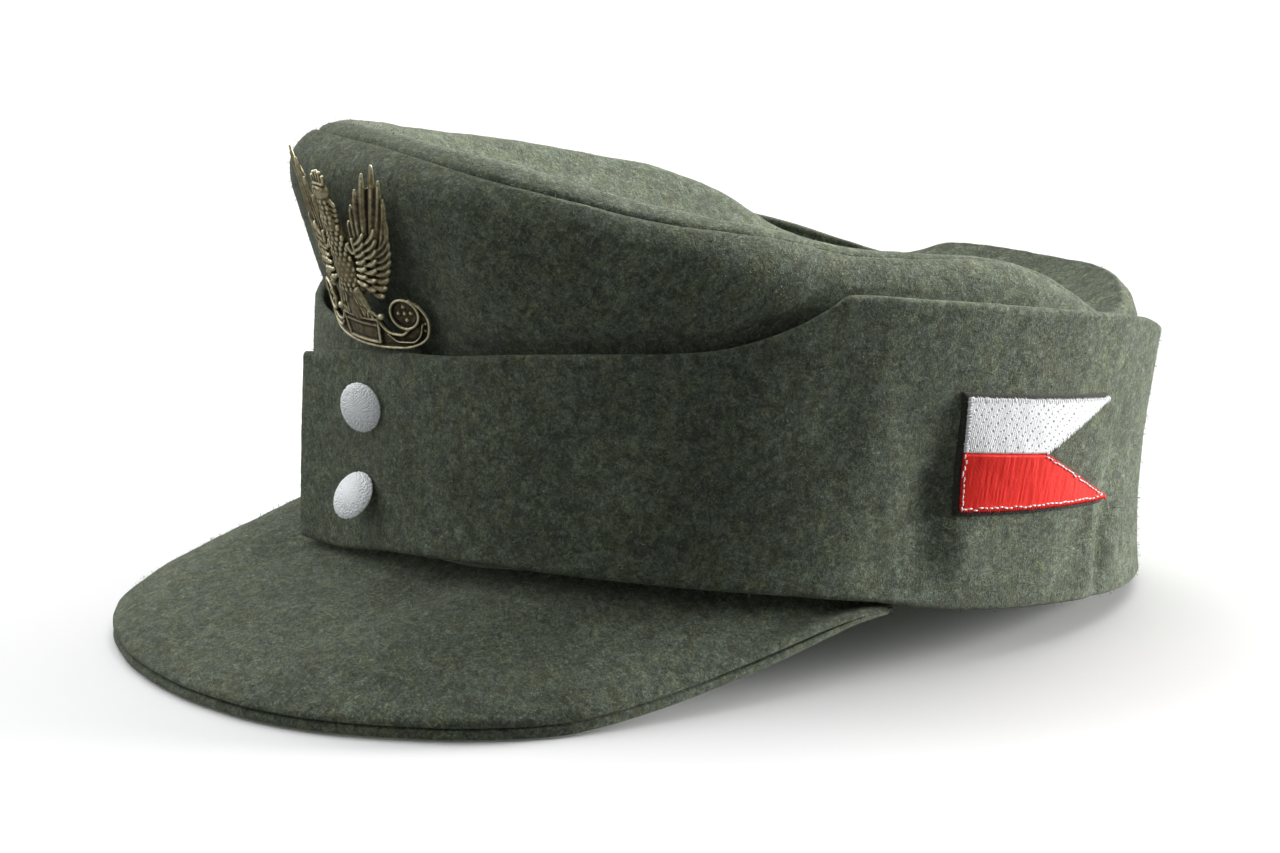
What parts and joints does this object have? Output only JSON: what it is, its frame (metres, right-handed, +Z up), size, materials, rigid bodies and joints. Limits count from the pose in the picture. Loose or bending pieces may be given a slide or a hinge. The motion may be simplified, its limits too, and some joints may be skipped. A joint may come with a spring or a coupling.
{
  "type": "field cap",
  "caption": "Wool field cap with a sunken crown, a turned-up ear flap buttoned at the front, a stiff cloth peak, an eagle badge and a swallow-tailed pennant patch.",
  "frame": {"origin": "middle of the cap's box, on the surface it rests on", "axes": "+Z up, -Y towards the peak, +X towards the wearer's left side"},
  "size_m": [0.176, 0.258, 0.1171],
  "materials": {
    "wool_cloth": "fulled grey-green melange wool with a short nap",
    "badge_metal": "dark antique patina, brighter on raised edges",
    "button_metal": "matt grey, finely pebbled",
    "post_metal": "plain, dull",
    "backing_cloth": "dark overlocked edge",
    "white_thread": "satin-stitched embroidery thread",
    "red_thread": "satin-stitched embroidery thread"
  },
  "bodies": {
    "root": {"crown_side": "wool_cloth", "crown_top": "wool_cloth", "ear_flap": "wool_cloth", "peak_top": "wool_cloth", "peak_underside": "wool_cloth", "button_upper": "button_metal", "button_lower": "button_metal", "badge": "badge_metal", "badge_post": "post_metal", "pennant_backing": "backing_cloth", "pennant_white": "white_thread", "pennant_red": "red_thread"}
  },
  "joints": []
}
